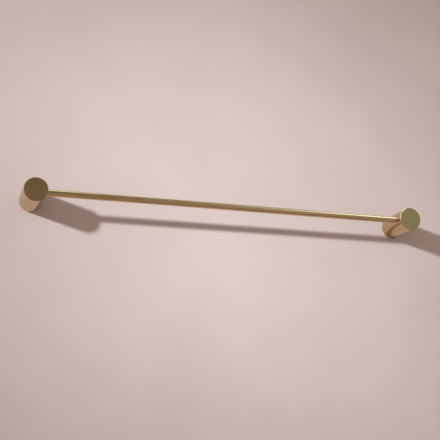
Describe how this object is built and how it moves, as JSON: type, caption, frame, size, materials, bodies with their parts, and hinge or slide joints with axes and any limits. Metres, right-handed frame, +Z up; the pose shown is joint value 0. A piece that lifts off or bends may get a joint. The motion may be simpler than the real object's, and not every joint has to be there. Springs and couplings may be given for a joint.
{
  "type": "towel rail",
  "caption": "Wall-mounted towel rail with a slim round brass bar held between cylindrical posts that slide over concealed wall discs and lock with grub screws.",
  "frame": {"origin": "on the wall plane, midway between the axes of the two posts and at the height of the rail", "axes": "+X along the rail, to the right as seen from the room; +Y into the wall; +Z up"},
  "size_m": [0.75, 0.117, 0.0424],
  "materials": {
    "satin_brass": "brushed to a satin sheen and clear lacquered",
    "plain_brass": "as turned",
    "stainless_disc": "as turned",
    "screw_steel": "bright zinc plated",
    "black_steel": "blackened and oiled",
    "seal_rubber": "smooth moulded",
    "gasket_rubber": "matt sheet"
  },
  "bodies": {
    "wall_mount": {"left_wall_bracket": "stainless_disc", "right_wall_bracket": "stainless_disc", "left_upper_wall_screw": "screw_steel", "left_lower_wall_screw": "screw_steel", "right_upper_wall_screw": "screw_steel", "right_lower_wall_screw": "screw_steel", "left_upper_washer": "screw_steel", "left_lower_washer": "screw_steel", "right_upper_washer": "screw_steel", "right_lower_washer": "screw_steel"},
    "rail": {"rail_tube": "satin_brass", "left_post": "satin_brass", "right_post": "satin_brass", "left_rail_plug": "plain_brass", "right_rail_plug": "plain_brass", "left_rail_seal": "seal_rubber", "right_rail_seal": "seal_rubber", "left_gasket": "gasket_rubber", "right_gasket": "gasket_rubber", "left_rail_screw": "black_steel", "right_rail_screw": "black_steel", "left_lock_washer": "screw_steel", "right_lock_washer": "screw_steel"},
    "left_grub": {"left_grub_screw": "black_steel"},
    "right_grub": {"right_grub_screw": "black_steel"}
  },
  "joints": [
    {"name": "rail_pull_off", "type": "slide", "parent": "wall_mount", "child": "rail", "axis": [0, -1, 0], "range_m": [0, 0.04]},
    {"name": "left_grub_travel", "type": "slide", "parent": "rail", "child": "left_grub", "axis": [0, 0, -1], "range_m": [0, 0.003]},
    {"name": "right_grub_travel", "type": "slide", "parent": "rail", "child": "right_grub", "axis": [0, 0, -1], "range_m": [0, 0.003]}
  ]
}
